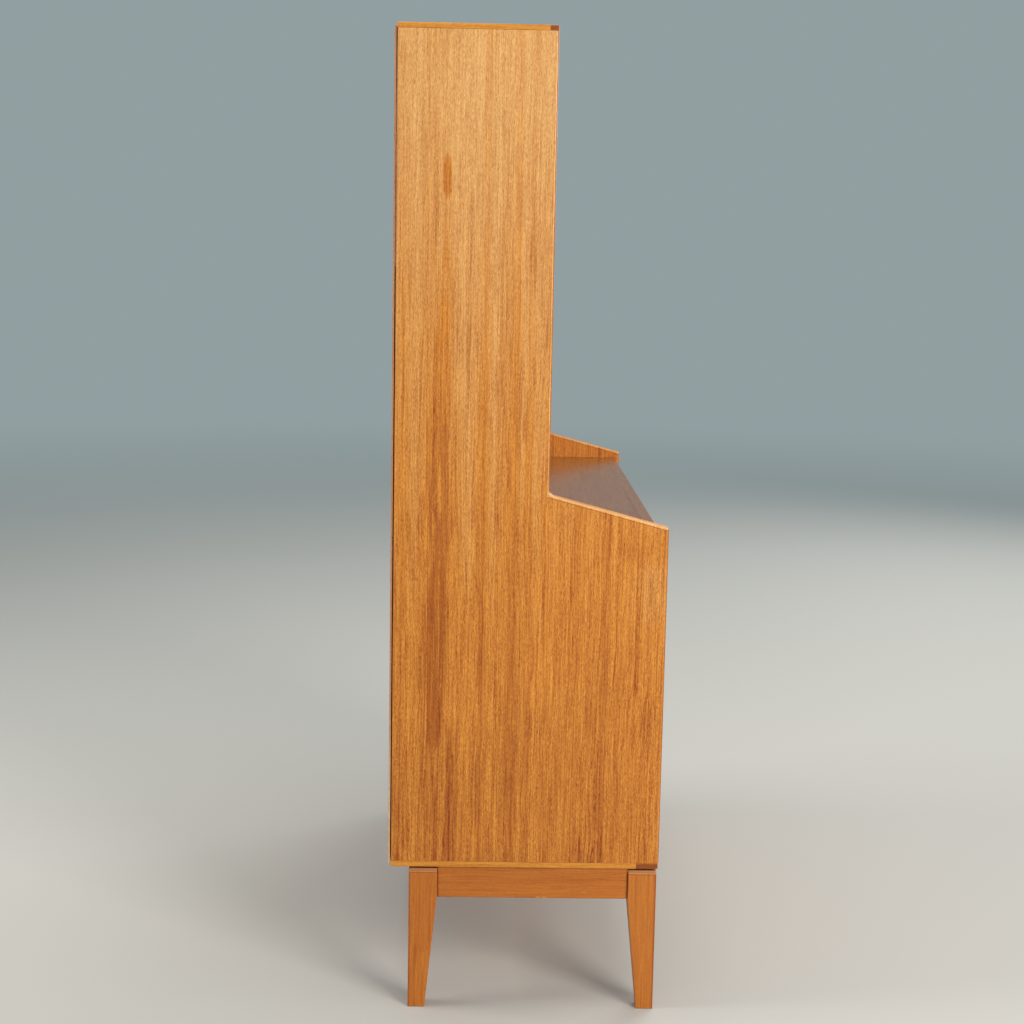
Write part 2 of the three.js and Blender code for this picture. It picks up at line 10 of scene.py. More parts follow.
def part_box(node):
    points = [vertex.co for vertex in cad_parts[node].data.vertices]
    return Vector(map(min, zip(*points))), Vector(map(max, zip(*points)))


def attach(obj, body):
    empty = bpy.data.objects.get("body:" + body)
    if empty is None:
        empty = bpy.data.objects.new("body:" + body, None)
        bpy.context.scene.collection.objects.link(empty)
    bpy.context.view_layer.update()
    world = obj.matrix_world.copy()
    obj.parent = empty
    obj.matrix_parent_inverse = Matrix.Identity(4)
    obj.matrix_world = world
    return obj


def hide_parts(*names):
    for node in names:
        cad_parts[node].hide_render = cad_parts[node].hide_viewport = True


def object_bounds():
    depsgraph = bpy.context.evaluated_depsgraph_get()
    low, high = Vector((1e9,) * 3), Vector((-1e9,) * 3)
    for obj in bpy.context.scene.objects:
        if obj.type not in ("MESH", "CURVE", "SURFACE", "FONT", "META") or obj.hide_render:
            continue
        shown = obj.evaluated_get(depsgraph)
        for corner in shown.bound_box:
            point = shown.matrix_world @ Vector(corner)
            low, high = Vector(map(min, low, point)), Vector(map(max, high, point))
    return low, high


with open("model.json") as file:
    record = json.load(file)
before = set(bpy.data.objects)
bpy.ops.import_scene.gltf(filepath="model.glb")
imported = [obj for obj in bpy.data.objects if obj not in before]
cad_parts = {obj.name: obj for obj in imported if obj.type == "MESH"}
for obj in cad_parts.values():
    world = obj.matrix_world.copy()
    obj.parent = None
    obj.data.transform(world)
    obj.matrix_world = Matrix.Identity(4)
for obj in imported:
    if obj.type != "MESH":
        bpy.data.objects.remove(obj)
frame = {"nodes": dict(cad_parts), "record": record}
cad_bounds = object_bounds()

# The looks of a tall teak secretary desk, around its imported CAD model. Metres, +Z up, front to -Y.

# ---- Camera: at the photograph's place, looking at the cabinet's left side ----
CAMERA_PLACE = (-3.1175, 0.0826, 1.1892)
CAMERA_HEADING = -1.197      # degrees from +X towards +Y
CAMERA_TILT = -8.703
CAMERA_ROLL = 1.060
CAMERA_LENS = 62.036         # millimetres, on a sensor 36 mm wide


def add_camera():
    data = bpy.data.cameras.new("photo_view")
    data.lens = CAMERA_LENS
    data.sensor_width = 36
    camera = bpy.data.objects.new("photo_view", data)
    heading, tilt = math.radians(CAMERA_HEADING), math.radians(CAMERA_TILT)
    forward = Vector((
        math.cos(tilt) * math.cos(heading),
        math.cos(tilt) * math.sin(heading),
        math.sin(tilt),
    ))
    roll = Quaternion((0, 0, 1), math.radians(CAMERA_ROLL))
    camera.rotation_mode = "QUATERNION"
    camera.rotation_quaternion = forward.to_track_quat("-Z", "Y") @ roll
    camera.location = CAMERA_PLACE
    bpy.context.scene.collection.objects.link(camera)
    bpy.context.scene.camera = camera


add_camera()


# ---- Node helpers ----
def add_node(tree, kind, inputs=None, **settings):
    node = tree.nodes.new(kind)
    for name, value in settings.items():
        setattr(node, name, value)
    for key, value in (inputs or {}).items():
        if isinstance(value, bpy.types.NodeSocket):
            tree.links.new(value, node.inputs[key])
        else:
            node.inputs[key].default_value = value
    return node


def calc(tree, operation, *values):
    inputs = dict(enumerate(values))
    return add_node(tree, "ShaderNodeMath", inputs, operation=operation).outputs[0]


def remap(tree, value, low, high, to_low=0.0, to_high=1.0, smooth=True):
    inputs = {"Value": value, "From Min": low, "From Max": high, "To Min": to_low, "To Max": to_high}
    kind = "SMOOTHSTEP" if smooth else "LINEAR"
    return add_node(tree, "ShaderNodeMapRange", inputs, interpolation_type=kind).outputs[0]


def mix(tree, factor, first, second):
    node = add_node(tree, "ShaderNodeMix", data_type="RGBA")
    for socket, value in ((node.inputs[0], factor), (node.inputs[6], first), (node.inputs[7], second)):
        if isinstance(value, bpy.types.NodeSocket):
            tree.links.new(value, socket)
        else:
            socket.default_value = value
    return node.outputs[2]


def stretched_noise(tree, vector, scale, detail=2.0, roughness=0.5, offset=0.0):
    """Noise drawn out by a different amount along each axis of the grain."""
    mapping = add_node(tree, "ShaderNodeMapping", {"Vector": vector, "Scale": scale})
    mapping.inputs["Location"].default_value = (offset, offset * 1.7, offset * 0.6)
    inputs = {"Vector": mapping.outputs[0], "Scale": 1.0, "Detail": detail, "Roughness": roughness}
    return add_node(tree, "ShaderNodeTexNoise", inputs).outputs["Fac"]


def colour(red, green, blue):
    return (red, green, blue, 1.0)


# ---- The figure of wood, as a node group in grain space: across, depth, along ----
FIGURE = ("Tone", "Band", "Streak", "Fibre", "Fleck", "Growth", "Pores")


def wood_figure_group():
    """Each output is about 0 on average, apart from Growth and Pores, which go from 0 to 1."""
    tree = bpy.data.node_groups.new("wood_figure", "ShaderNodeTree")
    tree.interface.new_socket("Vector", in_out="INPUT", socket_type="NodeSocketVector")
    for name in FIGURE:
        tree.interface.new_socket(name, in_out="OUTPUT", socket_type="NodeSocketFloat")
    start = add_node(tree, "NodeGroupInput").outputs["Vector"]

    def centred(vector, scale, detail, roughness=0.5, offset=0.0):
        return calc(tree, "SUBTRACT", stretched_noise(tree, vector, scale, detail, roughness, offset), 0.5)

    def moved_across(vector, amount):
        shift = add_node(tree, "ShaderNodeCombineXYZ", {"X": amount, "Y": amount})
        inputs = {0: vector, 1: shift.outputs[0]}
        return add_node(tree, "ShaderNodeVectorMath", inputs, operation="ADD").outputs[0]

    # The grain wanders slowly. Its streaks are a little uneven, and its fine lines are ragged.
    sway = calc(tree, "MULTIPLY", centred(start, (3, 3, 1.1), 1.0), 0.030)
    sway = calc(tree, "MULTIPLY_ADD", centred(start, (20, 20, 8), 1.0, 0.5, 7.0), 0.006, sway)
    grain = moved_across(start, sway)
    uneven = moved_across(
        grain, calc(tree, "MULTIPLY", centred(start, (50, 50, 13), 1.0, 0.6, 9.0), 0.0030)
    )
    ragged = moved_across(
        uneven, calc(tree, "MULTIPLY", centred(start, (240, 240, 130), 1.0, 0.6, 8.0), 0.0012)
    )
    ridge = calc(tree, "ABSOLUTE", centred(uneven, (95, 95, 0.6), 1.0, 0.5, 3.0))
    line = remap(tree, ridge, 0.0, 0.032, 1.0, 0.0)
    broken = remap(tree, stretched_noise(tree, grain, (40, 40, 3), 2.0, 0.6, 4.0), 0.34, 0.60)
    figure = {
        "Tone": centred(grain, (8, 8, 0.5), 1.0),
        "Band": centred(grain, (32, 32, 1.6), 1.0, 0.7, 1.0),
        "Streak": centred(uneven, (150, 150, 1.3), 2.0, 0.75, 2.0),
        "Fibre": centred(ragged, (420, 420, 10), 1.5, 0.8, 5.0),
        "Fleck": centred(ragged, (850, 850, 200), 1.0, 0.7, 7.0),
        "Growth": calc(tree, "MULTIPLY", line, broken),
        "Pores": remap(tree, stretched_noise(tree, ragged, (900, 900, 90), 1.0, 0.5, 6.0), 0.58, 0.70),
    }
    end = add_node(tree, "NodeGroupOutput")
    for name in FIGURE:
        tree.links.new(figure[name], end.inputs[name])
    return tree


WOOD_FIGURE = wood_figure_group()
AXES = {"x": ("Z", "Y", "X"), "y": ("Z", "X", "Y"), "z": ("Y", "X", "Z")}   # across, depth, along


class Timber:
    """The colours and finish of one kind of wood. strength is its grain's contrast, relief its
    depth, and fineness how much finer than the veneer's it is."""

    def __init__(
        self, pale, middle, dark, line, roughness, strength=1.0, specular=0.35, relief=1.0, fineness=1.0
    ):
        self.pale, self.middle, self.dark, self.line = pale, middle, dark, line
        self.roughness, self.strength, self.fineness = roughness, strength, fineness
        self.specular, self.relief = specular, relief


TEAK = Timber(
    colour(0.70, 0.385, 0.140), colour(0.575, 0.205, 0.026), colour(0.39, 0.104, 0.009),
    colour(0.25, 0.055, 0.007), 0.42,
)
SOLID_TEAK = Timber(
    colour(0.59, 0.207, 0.028), colour(0.49, 0.146, 0.016), colour(0.34, 0.086, 0.010),
    colour(0.20, 0.045, 0.008), 0.42, strength=0.6, fineness=1.4,
)
EDGE_TEAK = Timber(
    colour(0.74, 0.350, 0.070), colour(0.62, 0.250, 0.040), colour(0.45, 0.140, 0.020),
    colour(0.28, 0.070, 0.012), 0.42, strength=0.8, specular=0.10,
)
DESK_TEAK = Timber(
    colour(0.28, 0.105, 0.016), colour(0.22, 0.078, 0.011), colour(0.15, 0.048, 0.007),
    colour(0.09, 0.026, 0.005), 0.20, strength=0.7, specular=0.31, relief=0.1,
)
BEECH = Timber(
    colour(0.68, 0.47, 0.26), colour(0.60, 0.39, 0.20), colour(0.50, 0.30, 0.14),
    colour(0.38, 0.21, 0.09), 0.55, strength=0.5,
)
BIRCH = Timber(
    colour(0.70, 0.50, 0.28), colour(0.63, 0.43, 0.22), colour(0.54, 0.35, 0.17),
    colour(0.44, 0.27, 0.12), 0.58, strength=0.55,
)
# Painted light: a paler, greyer teak for the upward chamfers at the legs' tops, as if lit from above.
LIT_CHAMFER_TEAK = Timber(
    colour(0.55, 0.28, 0.13), colour(0.47, 0.21, 0.09), colour(0.37, 0.14, 0.05),
    colour(0.30, 0.11, 0.04), 0.45, strength=0.8, fineness=1.4,
)
PLY_EDGE = Timber(
    colour(0.72, 0.50, 0.29), colour(0.52, 0.25, 0.13), colour(0.36, 0.13, 0.06),
    colour(0.24, 0.08, 0.04), 0.55, strength=0.5,
)
BACK_PLY = Timber(
    colour(0.50, 0.28, 0.11), colour(0.42, 0.22, 0.080), colour(0.32, 0.155, 0.052),
    colour(0.22, 0.100, 0.032), 0.60, strength=0.9,
)


REDDENING = (1.0, 1.6, 2.2)   # a darker fibre loses more green and blue than red


def grain_space(tree, along, fineness, offset):
    position = add_node(tree, "ShaderNodeTexCoord").outputs["Object"]
    apart = add_node(tree, "ShaderNodeSeparateXYZ", {0: position})
    picked = {name: apart.outputs[axis] for name, axis in zip("XYZ", AXES[along])}
    joined = add_node(tree, "ShaderNodeCombineXYZ", picked).outputs[0]
    inputs = {0: joined, 1: (fineness, fineness, fineness), 2: offset}
    moved = add_node(tree, "ShaderNodeVectorMath", inputs, operation="MULTIPLY_ADD")
    return moved.outputs[0], apart


def weighted_sum(tree, start, *pairs):
    total = start
    for value, weight in pairs:
        total = calc(tree, "MULTIPLY_ADD", value, weight, total)
    return total


def wood(
    name, timber, along, seed, tone=0.0, features=None, end_grain=0.5, slow=1.0, contrast=None
):
    """A material of one kind of wood with its grain along one axis. A higher tone is darker.
    features(tree, apart, dark, figure) may change how dark the wood is from place to place, and
    contrast(tree, apart) gives factors by which parts of the figure are stronger or weaker."""
    material = bpy.data.materials.new(name)
    material.use_nodes = True
    tree = material.node_tree
    shader = tree.nodes["Principled BSDF"]
    chance = random.Random(seed)
    offset = (chance.uniform(1, 9), chance.uniform(1, 9), chance.uniform(1, 9))
    grain, apart = grain_space(tree, along, timber.fineness, offset)
    group = add_node(tree, "ShaderNodeGroup", node_tree=WOOD_FIGURE)
    tree.links.new(grain, group.inputs["Vector"])
    figure = {output: group.outputs[output] for output in FIGURE}
    if contrast:
        for output, factor in contrast(tree, apart).items():
            figure[output] = calc(tree, "MULTIPLY", figure[output], factor)
    strength = timber.strength

    # Slow changes run from golden to red-brown, and quick ones only change the brightness.
    dark = weighted_sum(
        tree, 0.42 + tone, (figure["Tone"], 0.9 * slow * strength), (figure["Band"], 0.6 * slow * strength),
        (figure["Streak"], 0.45 * strength),
    )
    if features:
        dark = features(tree, apart, dark, figure)
    ramp = add_node(tree, "ShaderNodeValToRGB", {"Fac": dark})
    stops = ramp.color_ramp.elements
    stops[0].position, stops[0].color = 0.0, timber.pale
    stops[1].position, stops[1].color = 1.0, timber.dark
    stops.new(0.45).color = timber.middle
    quick = weighted_sum(
        tree, 0.0, (figure["Streak"], -0.40 * strength), (figure["Fibre"], -0.85 * strength),
        (figure["Fleck"], -0.55 * strength), (figure["Growth"], -0.22 * strength),
    )
    change = add_node(
        tree, "ShaderNodeVectorMath", {0: REDDENING, "Scale": quick}, operation="SCALE"
    ).outputs[0]
    inputs = {0: ramp.outputs[0], 1: change, 2: ramp.outputs[0]}
    shade = add_node(tree, "ShaderNodeVectorMath", inputs, operation="MULTIPLY_ADD").outputs[0]
    shade = mix(tree, calc(tree, "MULTIPLY", figure["Pores"], 0.30 * strength), shade, timber.line)

    # End grain is darker. It follows the face's own direction.
    normal = add_node(tree, "ShaderNodeTexCoord").outputs["Normal"]
    facing = add_node(tree, "ShaderNodeSeparateXYZ", {0: normal}).outputs[AXES[along][2]]
    across_fibres = remap(tree, calc(tree, "ABSOLUTE", facing), 0.75, 0.98)
    shade = mix(tree, calc(tree, "MULTIPLY", across_fibres, end_grain), shade, timber.line)

    # Handled edges are a little paler and smoother, in patches.
    worn = add_node(tree, "ShaderNodeAttribute", attribute_name="arris").outputs["Fac"]
    patches = remap(tree, stretched_noise(tree, grain, (60, 60, 22), 3.0), 0.38, 0.66, 0.25, 0.9)
    wear = calc(tree, "MULTIPLY", worn, patches)
    shade = mix(tree, calc(tree, "MULTIPLY", wear, 0.35), shade, timber.pale)
    tree.links.new(shade, shader.inputs["Base Color"])

    rough = weighted_sum(
        tree, timber.roughness, (figure["Fibre"], 0.25), (figure["Pores"], 0.10), (worn, -0.18)
    )
    tree.links.new(rough, shader.inputs["Roughness"])
    height = weighted_sum(tree, 0.0, (figure["Fibre"], 1.0), (figure["Pores"], -0.8))
    depth = 0.0005 * timber.relief
    bump = add_node(tree, "ShaderNodeBump", {"Height": height, "Strength": 0.3, "Distance": depth})
    tree.links.new(bump.outputs[0], shader.inputs["Normal"])
    shader.inputs["Specular IOR Level"].default_value = timber.specular
    return material


# ---- Mesh helpers ----
SHARP = math.radians(30)
ARRIS_STEPS = 4


def node_copy(node, name):
    mesh = frame["nodes"][node].data.copy()
    mesh.name = name
    mesh.materials.clear()
    for attribute in [a.name for a in mesh.color_attributes]:
        mesh.color_attributes.remove(mesh.color_attributes[attribute])
    piece = bpy.data.objects.new(name, mesh)
    bpy.context.scene.collection.objects.link(piece)
    return piece


def is_corner(edge):
    return len(edge.link_faces) == 2 and edge.calc_face_angle() > SHARP


def soften(piece, radius_at):
    """Rounds the piece's sharp edges. radius_at(middle, direction) gives an edge's radius, or 0."""
    solid = bmesh.new()
    solid.from_mesh(piece.data)
    bmesh.ops.remove_doubles(solid, verts=solid.verts, dist=1e-6)
    flat = math.radians(1)
    bmesh.ops.dissolve_limit(solid, angle_limit=flat, verts=solid.verts, edges=solid.edges)
    rounded = solid.faces.layers.int.new("rounded")

    def radius_of(edge):
        first, second = edge.verts[0].co, edge.verts[1].co
        return radius_at((first + second) / 2, (second - first).normalized())

    radii = sorted({radius_of(e) for e in solid.edges if is_corner(e)} - {0}, reverse=True)
    for radius in radii:
        edges = [e for e in solid.edges if is_corner(e) and radius_of(e) == radius]
        made = bmesh.ops.bevel(
            solid, geom=edges, offset=radius, segments=ARRIS_STEPS, profile=0.5,
            affect="EDGES", clamp_overlap=False,
        )
        for face in made["faces"]:
            face[rounded] = 1
    many_sided = [f for f in solid.faces if len(f.verts) > 4]
    bmesh.ops.triangulate(solid, faces=many_sided)
    arris = solid.loops.layers.float_color.new("arris")
    for face in solid.faces:
        face.smooth = True
        value = float(face[rounded])
        for loop in face.loops:
            loop[arris] = (value, value, value, 1.0)
    for edge in solid.edges:
        edge.smooth = not is_corner(edge)
    solid.to_mesh(piece.data)
    solid.free()
    finish_normals(piece)
    return piece


def finish_normals(piece):
    """Keeps flat faces flat-looking beside their rounded edges."""
    modifier = piece.modifiers.new("normals", "WEIGHTED_NORMAL")
    modifier.keep_sharp = True
    bpy.context.view_layer.update()
    evaluated = piece.evaluated_get(bpy.context.evaluated_depsgraph_get())
    mesh = bpy.data.meshes.new_from_object(evaluated)
    piece.modifiers.clear()
    piece.data = mesh
    mesh.name = piece.name


def settle(piece, body, slot, *nodes):
    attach(piece, body)
    if nodes:
        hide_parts(*nodes)
    return piece


BODIES = frame["record"]["behaviour"]["bodies"]
BODY_OF = {node: body for body, nodes in BODIES.items() for node in nodes}
SLOT_OF = {part["node"]: part["material_slot"] for part in frame["record"]["subparts"]}


def board(node, material, radius=0.0008, radius_at=None):
    """A piece that keeps a CAD node's shape and gets rounded edges and a wood material."""
    piece = node_copy(node, f"{node}_wood")
    soften(piece, radius_at or (lambda middle, direction: radius))
    piece.data.materials.append(material)
    return settle(piece, BODY_OF[node], SLOT_OF[node], node)


def add_material(piece, material, wanted):
    """Gives one more material to the faces whose normal and centre satisfy wanted()."""
    piece.data.materials.append(material)
    for face in piece.data.polygons:
        if wanted(face.normal, face.center):
            face.material_index = len(piece.data.materials) - 1


# ---- Side panels ----
LOW = cad_bounds[0]
UPPER_FRONT_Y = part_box("top_board_lipping")[0].y
NOTCH_Z = 0.814              # where the panels' slope meets the upper front edge
SHOULDER_Z = 0.766           # where it meets the lower front edge
STREAK_FLAMES = (            # place in Y and Z, half width, half height, how much darker
    (0.131, 1.283, 0.0065, 0.036, 0.42), (0.131, 1.195, 0.0050, 0.060, 0.12),
    (0.130, 1.110, 0.0110, 0.085, 0.10), (0.134, 0.980, 0.0150, 0.150, 0.20),
    (0.138, 0.780, 0.0190, 0.190, 0.26), (0.136, 0.700, 0.0120, 0.100, 0.08),
    (0.141, 0.575, 0.0210, 0.150, 0.50), (0.152, 0.590, 0.0060, 0.090, 0.20),
    (0.142, 0.465, 0.0100, 0.060, 0.42), (0.151, 0.360, 0.0060, 0.130, 0.28),
    (0.114, 0.350, 0.0110, 0.140, 0.26), (0.134, 0.270, 0.0180, 0.050, 0.10),
)
PANEL_BANDS = (              # across the left panel: place in Y, half width, how much darker
    (0.201, 0.010, 0.05), (0.176, 0.016, -0.12), (0.095, 0.018, -0.06), (0.072, 0.009, 0.20),
    (0.056, 0.008, -0.10), (0.025, 0.013, 0.26), (0.003, 0.008, 0.14), (-0.028, 0.008, 0.10),
    (-0.076, 0.007, 0.12), (-0.116, 0.008, 0.16), (-0.136, 0.010, 0.08), (-0.192, 0.026, -0.05),
)
PANEL_LINES = (              # places in Y of the growth lines
    0.195, 0.158, 0.070, 0.022, -0.002, -0.062, -0.084, -0.121, -0.165,
)
SUN_PATCH = (-0.180, 0.050)  # place in Y and half width
SUN_PATCH_PARTS = (          # place in Z, half height, how much darker
    (0.665, 0.070, -0.08), (0.735, 0.035, 0.12),
)
PANEL_PAINTED_LIGHT = (0.25, -0.28)   # painted light and shade: how much darker both panels are low down and at the top
PAINTED_LIGHT_AND_CALM_LEVELS = (0.25, 1.40)   # the heights between which the panels' painted light changes and their grain gets calmer
PANEL_FIGURE = {             # how strong each part of the figure is low down and at the top
    "Band": (1.0, 0.50), "Streak": (0.8, 0.25), "Fibre": (1.5, 0.65), "Fleck": (2.1, 1.30),
    "Growth": (1.3, 0.60),
}


def bump_shape(tree, value, place, half_width, height):
    """A soft bump of one height around one place."""
    off_place = calc(tree, "ABSOLUTE", calc(tree, "SUBTRACT", value, place))
    return remap(tree, off_place, 0.0, half_width, height, 0.0)


def squared_distance(tree, y, z, centre, half_size):
    """From an oval's centre to Y and Z, where the oval's own edge is at 1."""
    off_y, off_z = (
        calc(tree, "DIVIDE", calc(tree, "SUBTRACT", value, place), half)
        for value, place, half in zip((y, z), centre, half_size)
    )
    return calc(tree, "ADD", calc(tree, "POWER", off_y, 2.0), calc(tree, "POWER", off_z, 2.0))


def painted_light_with_height(tree, apart, dark):
    """Painted light: both side panels are paler and yellower towards the top, as if lit more there."""
    # Painted light: this change of colour with height stands in for more light falling on the top.
    fade = remap(tree, apart.outputs["Z"], *PAINTED_LIGHT_AND_CALM_LEVELS, *PANEL_PAINTED_LIGHT, smooth=False)
    return calc(tree, "ADD", dark, fade)


def panel_contrast(tree, apart):
    """The side panels' grain is calmer towards the top."""
    height = apart.outputs["Z"]
    return {
        name: remap(tree, height, *PAINTED_LIGHT_AND_CALM_LEVELS, *strengths, smooth=False)
        for name, strengths in PANEL_FIGURE.items()
    }


def strips_with_painted_highlight(tree, apart, dark):
    """Thin solid strips edge the panels in front and on the slope, with a dark glue line behind. The paler
    strips at the upper front edge and under the slope are painted highlight.
    """
    y, z = apart.outputs["Y"], apart.outputs["Z"]
    rise = (NOTCH_Z - SHOULDER_Z) / (UPPER_FRONT_Y - LOW.y)
    slope = calc(tree, "MULTIPLY_ADD", calc(tree, "SUBTRACT", y, UPPER_FRONT_Y), rise, NOTCH_Z)
    under_slope = calc(tree, "MULTIPLY", calc(tree, "SUBTRACT", slope, z), math.cos(math.atan(rise)))
    # Each row: distance in from the edge; where along the edge; strip width; glue line darkness; strip
    # darkness, where a negative value is a painted highlight.
    stretches = (
        (calc(tree, "SUBTRACT", y, UPPER_FRONT_Y), (z, NOTCH_Z, NOTCH_Z + 0.001), 0.0034, 0.16, -0.12),
        (calc(tree, "SUBTRACT", y, LOW.y), (z, SHOULDER_Z - 0.003, SHOULDER_Z - 0.004), 0.0050, 0.30, 0.0),
        (under_slope, (y, UPPER_FRONT_Y + 0.0035, UPPER_FRONT_Y + 0.003), 0.0035, 0.75, -0.35),
    )
    for inside, (along, start, end), width, joint, strip in stretches:
        here = remap(tree, along, start, end)
        line = bump_shape(tree, inside, width + 0.0004, 0.0009, joint)
        solid = remap(tree, inside, width, width - 0.0004, 0.0, strip)
        dark = calc(tree, "MULTIPLY_ADD", calc(tree, "ADD", line, solid), here, dark)
    return dark


def right_panel_features(tree, apart, dark, figure):
    return painted_light_with_height(tree, apart, strips_with_painted_highlight(tree, apart, dark))


def left_panel_features(tree, apart, dark, figure):
    """The left panel's own figure: a flame-edged heart streak, bands, growth lines and a pale patch."""
    y, z = apart.outputs["Y"], apart.outputs["Z"]
    flat = add_node(tree, "ShaderNodeCombineXYZ", {"X": y, "Z": z}).outputs[0]
    slow = calc(tree, "SUBTRACT", stretched_noise(tree, flat, (9, 1, 2.2), 2.0, 0.5, 5.0), 0.5)
    ragged = calc(tree, "SUBTRACT", stretched_noise(tree, flat, (110, 1, 4.0), 3.0, 0.7, 2.0), 0.5)

    # The heart streak is a chain of flames, with ragged edges and lighter fibres in them.
    moved = weighted_sum(tree, y, (ragged, 0.010), (slow, 0.004))
    streak = 0.0
    for place_y, place_z, half_width, half_height, depth in STREAK_FLAMES:
        off = squared_distance(tree, moved, z, (place_y, place_z), (half_width, half_height))
        streak = calc(tree, "ADD", streak, remap(tree, off, 0.35, 1.10, depth, 0.0))
    broken = weighted_sum(tree, 0.9, (figure["Streak"], 2.2), (figure["Fibre"], 1.5))
    dark = calc(tree, "MULTIPLY_ADD", streak, broken, dark)

    # The bands and growth lines follow the same slow and ragged sway.
    wavy = weighted_sum(tree, y, (slow, 0.008), (ragged, 0.010))
    bands = 0.0
    for place, half_width, height in PANEL_BANDS:
        bands = calc(tree, "ADD", bands, bump_shape(tree, wavy, place, half_width, height))
    dark = calc(tree, "MULTIPLY_ADD", bands, remap(tree, z, 0.6, 1.2, 1.0, 0.35), dark)
    lines = 0.0
    for place in PANEL_LINES:
        lines = calc(tree, "ADD", lines, bump_shape(tree, wavy, place, 0.0016, 0.32))
    lines = calc(tree, "MULTIPLY", lines, remap(tree, ragged, -0.16, 0.08))
    dark = calc(tree, "ADD", dark, calc(tree, "MULTIPLY", lines, remap(tree, z, 0.9, 1.3, 1.0, 0.4)))

    # The sun has reached a patch near the front edge, under a redder one.
    place_y, half_width = SUN_PATCH
    for place_z, half_height, height in SUN_PATCH_PARTS:
        off = squared_distance(tree, y, z, (place_y, place_z), (half_width, half_height))
        dark = calc(tree, "ADD", dark, remap(tree, off, 0.0, 1.0, height, 0.0))
    return painted_light_with_height(tree, apart, strips_with_painted_highlight(tree, apart, dark))


PANEL_ARRIS = 0.003


def panel_radius(outer_sign):
    """The exposed front edges are rounded, more on the outer side. The ends and the back stay crisp."""
    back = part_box("side_panel_left")[1].y
    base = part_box("side_panel_left")[0].z
    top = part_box("side_panel_left")[1].z

    def radius_at(middle, direction):
        if middle.z < base + 0.0005 or middle.z > top - 0.0005:
            return 0.0003
        if middle.y > back - 0.0005:
            return 0.0018
        if abs(direction.x) > 0.9:
            return 0.0
        return PANEL_ARRIS if middle.x * outer_sign > 0.485 else 0.0015
    return radius_at


def add_side_panels():
    left = wood(
        "teak_left_panel", TEAK, "z", 11, features=left_panel_features, slow=0.25,
        contrast=panel_contrast,
    )
    right = wood(
        "teak_right_panel", TEAK, "z", 23, tone=0.20, features=right_panel_features,
        contrast=panel_contrast,
    )
    edge = wood("teak_panel_edge", EDGE_TEAK, "y", 31, tone=0.22)
    # The edge faces to the front and back are solid teak, made darker still as painted shade.
    front = wood("teak_panel_front_painted_shade", SOLID_TEAK, "z", 32, tone=0.30)
    for side, sign, material in (("left", -1, left), ("right", 1, right)):
        panel = board(f"side_panel_{side}", material, radius_at=panel_radius(sign))
        add_material(panel, edge, lambda normal, centre: abs(normal.x) < 0.5)
        add_material(panel, front, lambda normal, centre: abs(normal.y) > 0.5)


add_side_panels()


# ---- Top, bottom and desk boards with their solid front strips ----
def seam_free(seam_y, radius):
    """Rounds a board's edges, but not those at the glued seam, nor those up and down its ends."""
    def radius_at(middle, direction):
        return 0.0 if abs(middle.y - seam_y) < 0.001 else radius
    return radius_at


def add_lipped_boards():
    for name, seed, end_tone in (("top_board", 41, -0.05), ("bottom_board", 47, 0.22)):
        veneer = wood(f"teak_{name}", TEAK, "x", seed)
        strip = wood(f"teak_{name}_strip", SOLID_TEAK, "x", seed + 1, tone=0.1, end_grain=0.85)
        band = wood(f"teak_{name}_end", EDGE_TEAK, "y", seed + 2, tone=end_tone)
        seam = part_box(name)[0].y
        piece = board(name, veneer, radius_at=seam_free(seam, 0.0004))
        add_material(piece, band, lambda normal, centre: abs(normal.x) > 0.9)
        board(f"{name}_lipping", strip, radius_at=seam_free(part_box(f"{name}_lipping")[1].y, 0.0012))
    desk = wood("teak_desk_top", DESK_TEAK, "x", 53)
    board("desk_board", desk, radius_at=seam_free(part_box("desk_board")[0].y, 0.0004))
    edge = wood("teak_desk_edge", DESK_TEAK, "x", 54, tone=0.05)
    board("desk_board_lipping", edge, radius_at=seam_free(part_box("desk_board_lipping")[1].y, 0.0003))
    board("writing_leaf", wood("teak_leaf", DESK_TEAK, "x", 57), 0.0006)
    board("writing_leaf_lipping", wood("teak_leaf_edge", SOLID_TEAK, "x", 58), 0.0010)


add_lipped_boards()


# ---- Shelves, dividers and doors ----
def add_bookcase():
    for name, seed in (("shelf_lower", 61), ("shelf_upper", 62)):
        board(name, wood(f"teak_{name}", TEAK, "x", seed), 0.0008)
    for side, seed in (("left", 64), ("right", 65)):
        board(f"divider_{side}", wood(f"teak_divider_{side}", SOLID_TEAK, "y", seed), 0.0008)
        board(f"sliding_door_{side}", wood(f"teak_door_{side}", TEAK, "z", seed + 3), 0.0010)


add_bookcase()


# ---- Drawers ----
def add_drawers():
    names = [f"drawer_{number}" for number in range(1, 5)]
    names += [f"small_drawer_{place}" for place in ("left", "middle", "right")]
    for index, name in enumerate(names):
        seed = 100 + 10 * index
        board(f"{name}_front", wood(f"teak_{name}", TEAK, "x", seed, tone=0.03 * (index % 3)), 0.0012)
        board(f"{name}_box", wood(f"beech_{name}", BEECH, "y", seed + 1), 0.0008)
        board(f"{name}_bottom", wood(f"birch_{name}", BIRCH, "x", seed + 2), 0.0003)
        for side in ("left", "right"):
            runner = f"{name}_runner_{side}"
            if runner in frame["nodes"]:
                board(runner, wood(f"beech_{runner}", BEECH, "y", seed + 4), 0.0008)


add_drawers()


# ---- Back, rail and leaf runners ----
PLY_THICKNESS = 0.0027       # the thin boards stand a little off the panels' back edges
NAIL_PITCH = 0.125
NAIL_RADIUS = 0.0021
NAIL_STEPS = 12              # round each nail head
NAIL_RINGS = ((0.0, 1.0), (0.35, 0.9), (0.6, 0.62))   # rise and radius, in nail radii
TARNISH = 0.55               # how bright the dull specks are, beside clean steel


